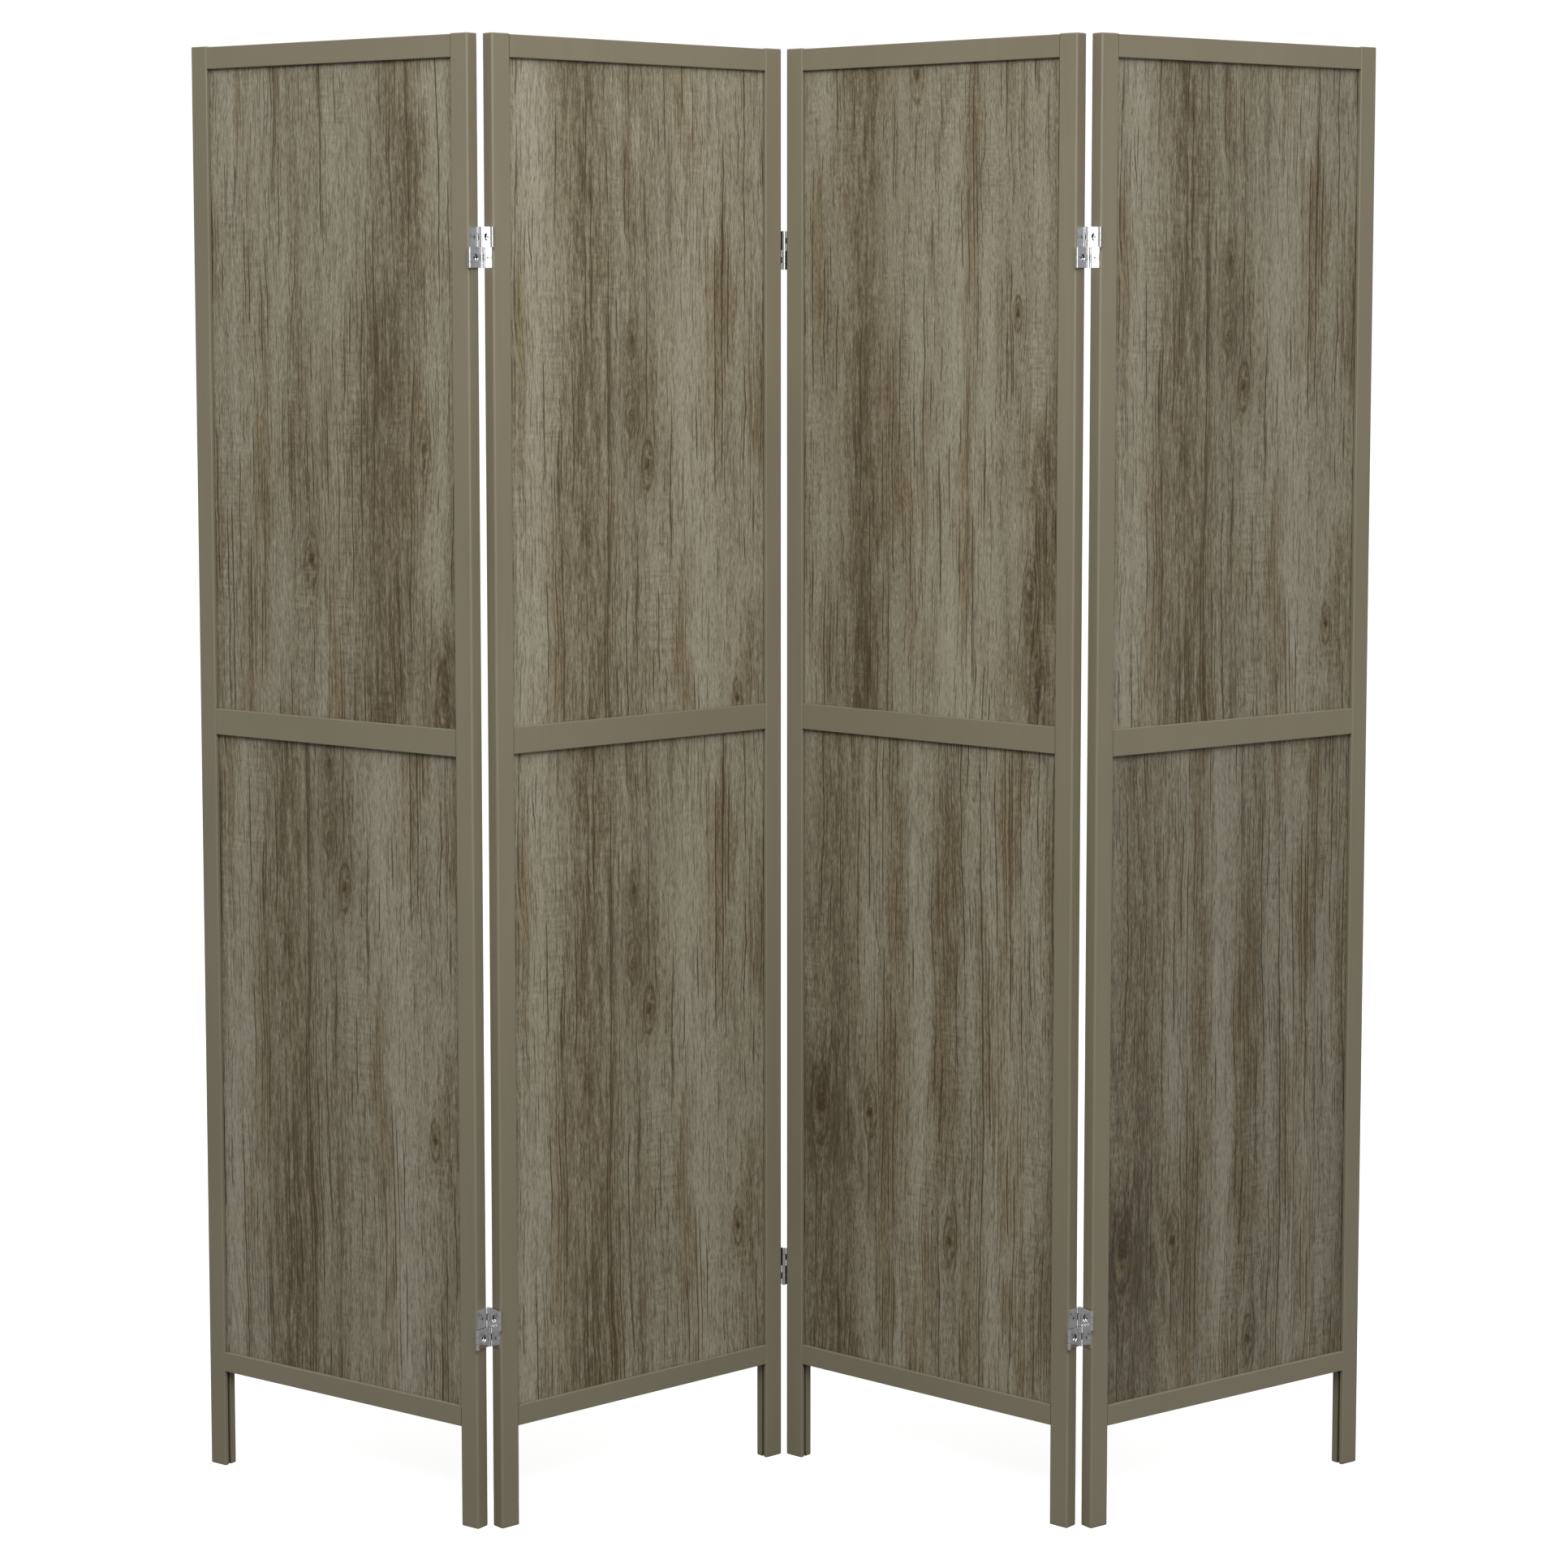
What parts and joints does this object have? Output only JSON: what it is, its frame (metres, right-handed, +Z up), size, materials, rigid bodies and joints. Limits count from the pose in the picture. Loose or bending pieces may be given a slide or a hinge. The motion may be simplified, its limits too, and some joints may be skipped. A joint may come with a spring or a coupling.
{
  "type": "folding room divider screen",
  "caption": "Free-standing folding screen: tall framed panels with printed wood-grain boards, joined in a zigzag by double-acting steel hinges.",
  "frame": {"origin": "on the floor at the middle of the footprint's bounding box, as the screen stands in its zigzag", "axes": "+Z up; the viewer stands on the -Y side; +X to the viewer's right along the row of panels"},
  "size_m": [1.4626, 0.3148, 1.79],
  "materials": {
    "painted_frame": "solid wood under satin taupe-grey paint",
    "printed_board": "thin fibreboard with a printed, lightly embossed weathered oak surface",
    "hinge_plate": "bright zinc plated sheet steel",
    "hinge_pin": "bright zinc plated steel rod",
    "hinge_screw": "bright zinc plated steel"
  },
  "bodies": {
    "panel_1": {"panel_1_left_stile": "painted_frame", "panel_1_right_stile": "painted_frame", "panel_1_top_rail": "painted_frame", "panel_1_mid_rail": "painted_frame", "panel_1_bottom_rail": "painted_frame", "panel_1_upper_board": "printed_board", "panel_1_lower_board": "printed_board", "panel_1_hinge_screws": "hinge_screw", "fold_1_left_leaves": "hinge_plate", "fold_1_lower_links": "hinge_plate", "fold_1_lower_link_pins": "hinge_pin"},
    "panel_2": {"panel_2_left_stile": "painted_frame", "panel_2_right_stile": "painted_frame", "panel_2_top_rail": "painted_frame", "panel_2_mid_rail": "painted_frame", "panel_2_bottom_rail": "painted_frame", "panel_2_upper_board": "printed_board", "panel_2_lower_board": "printed_board", "panel_2_hinge_screws": "hinge_screw", "fold_1_right_leaves": "hinge_plate", "fold_1_upper_links": "hinge_plate", "fold_1_upper_link_pins": "hinge_pin", "fold_2_left_leaves": "hinge_plate", "fold_2_upper_links": "hinge_plate", "fold_2_upper_link_pins": "hinge_pin"},
    "panel_3": {"panel_3_left_stile": "painted_frame", "panel_3_right_stile": "painted_frame", "panel_3_top_rail": "painted_frame", "panel_3_mid_rail": "painted_frame", "panel_3_bottom_rail": "painted_frame", "panel_3_upper_board": "printed_board", "panel_3_lower_board": "printed_board", "panel_3_hinge_screws": "hinge_screw", "fold_2_right_leaves": "hinge_plate", "fold_2_lower_links": "hinge_plate", "fold_2_lower_link_pins": "hinge_pin", "fold_3_left_leaves": "hinge_plate", "fold_3_lower_links": "hinge_plate", "fold_3_lower_link_pins": "hinge_pin"},
    "panel_4": {"panel_4_left_stile": "painted_frame", "panel_4_right_stile": "painted_frame", "panel_4_top_rail": "painted_frame", "panel_4_mid_rail": "painted_frame", "panel_4_bottom_rail": "painted_frame", "panel_4_upper_board": "printed_board", "panel_4_lower_board": "printed_board", "panel_4_hinge_screws": "hinge_screw", "fold_3_right_leaves": "hinge_plate", "fold_3_upper_links": "hinge_plate", "fold_3_upper_link_pins": "hinge_pin"}
  },
  "joints": [
    {"name": "fold_1", "type": "hinge", "parent": "panel_2", "child": "panel_1", "pos_m": [-0.35621, -0.13733, 0.895], "axis": [0, 0, -1], "range_deg": [-76, 103]},
    {"name": "fold_2", "type": "hinge", "parent": "panel_2", "child": "panel_3", "pos_m": [0, 0.13849, 0.895], "axis": [0, 0, -1], "range_deg": [-81, 98]},
    {"name": "fold_3", "type": "hinge", "parent": "panel_3", "child": "panel_4", "pos_m": [0.35621, -0.13733, 0.895], "axis": [0, 0, 1], "range_deg": [-76, 103]}
  ]
}
